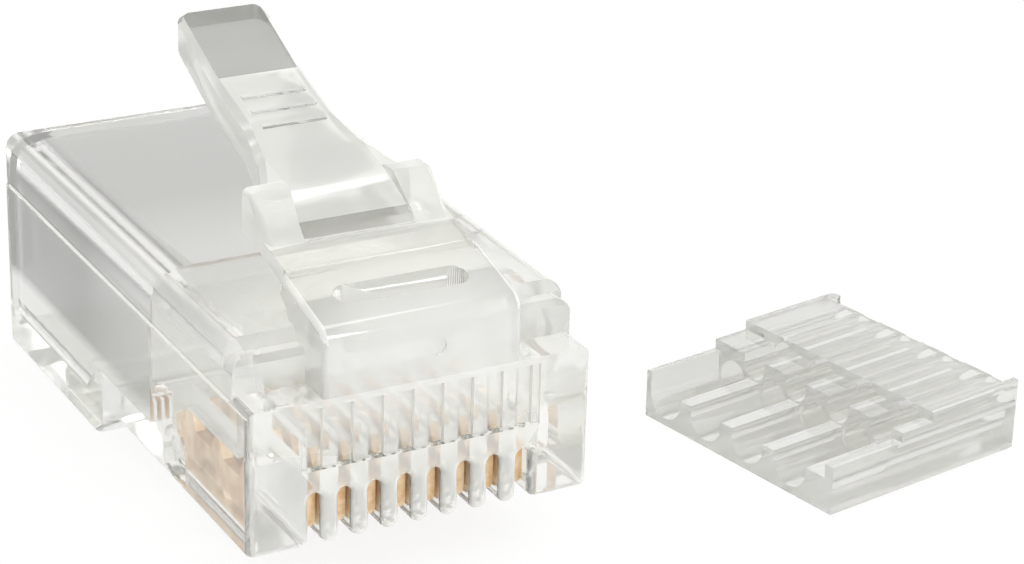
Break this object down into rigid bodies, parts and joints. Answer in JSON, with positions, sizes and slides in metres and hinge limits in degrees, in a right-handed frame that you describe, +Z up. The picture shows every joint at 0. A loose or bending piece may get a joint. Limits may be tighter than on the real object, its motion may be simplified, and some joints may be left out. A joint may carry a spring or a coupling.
{
  "type": "rj45 modular plug",
  "caption": "Clear uncrimped modular plug with a sprung latch, comb of contact blades, cable cavity and a loose tiered load bar",
  "frame": {"origin": "middle of the mating end, on the plane that the foot and the load bar rest on", "axes": "+Y from the mating face to the cable end, +Z up to the latch, +X across the plug"},
  "size_m": [0.0277, 0.0238, 0.0134],
  "materials": {
    "clear_polycarbonate": "clear injection-moulded polycarbonate, polished mould",
    "gold_plated_bronze": "phosphor bronze strip, gold plated"
  },
  "bodies": {
    "plug": {"housing": "clear_polycarbonate", "load_bar": "clear_polycarbonate"},
    "latch_lever": {"latch": "clear_polycarbonate"},
    "relief_flap": {"strain_relief_bar": "clear_polycarbonate"},
    "blade_1": {"contact_1": "gold_plated_bronze"},
    "blade_2": {"contact_2": "gold_plated_bronze"},
    "blade_3": {"contact_3": "gold_plated_bronze"},
    "blade_4": {"contact_4": "gold_plated_bronze"},
    "blade_5": {"contact_5": "gold_plated_bronze"},
    "blade_6": {"contact_6": "gold_plated_bronze"},
    "blade_7": {"contact_7": "gold_plated_bronze"},
    "blade_8": {"contact_8": "gold_plated_bronze"}
  },
  "joints": [
    {"name": "latch_press", "type": "hinge", "parent": "plug", "child": "latch_lever", "pos_m": [0, 0.0033, 0.00886], "axis": [-1, 0, 0], "range_deg": [0, 14], "stiffness_Nm_per_rad": 0.25},
    {"name": "relief_swing", "type": "hinge", "parent": "plug", "child": "relief_flap", "pos_m": [0, 0.0162, 0.00045], "axis": [-1, 0, 0], "range_deg": [0, 25]},
    {"name": "contact_press_1", "type": "slide", "parent": "plug", "child": "blade_1", "axis": [0, 0, 1], "range_m": [0, 0.00075]},
    {"name": "contact_press_2", "type": "slide", "parent": "plug", "child": "blade_2", "axis": [0, 0, 1], "range_m": [0, 0.00075]},
    {"name": "contact_press_3", "type": "slide", "parent": "plug", "child": "blade_3", "axis": [0, 0, 1], "range_m": [0, 0.00075]},
    {"name": "contact_press_4", "type": "slide", "parent": "plug", "child": "blade_4", "axis": [0, 0, 1], "range_m": [0, 0.00075]},
    {"name": "contact_press_5", "type": "slide", "parent": "plug", "child": "blade_5", "axis": [0, 0, 1], "range_m": [0, 0.00075]},
    {"name": "contact_press_6", "type": "slide", "parent": "plug", "child": "blade_6", "axis": [0, 0, 1], "range_m": [0, 0.00075]},
    {"name": "contact_press_7", "type": "slide", "parent": "plug", "child": "blade_7", "axis": [0, 0, 1], "range_m": [0, 0.00075]},
    {"name": "contact_press_8", "type": "slide", "parent": "plug", "child": "blade_8", "axis": [0, 0, 1], "range_m": [0, 0.00075]}
  ],
  "couplings": [
    {"joint": "contact_press_2", "follows": "contact_press_1", "ratio": 1},
    {"joint": "contact_press_3", "follows": "contact_press_1", "ratio": 1},
    {"joint": "contact_press_4", "follows": "contact_press_1", "ratio": 1},
    {"joint": "contact_press_5", "follows": "contact_press_1", "ratio": 1},
    {"joint": "contact_press_6", "follows": "contact_press_1", "ratio": 1},
    {"joint": "contact_press_7", "follows": "contact_press_1", "ratio": 1},
    {"joint": "contact_press_8", "follows": "contact_press_1", "ratio": 1}
  ]
}
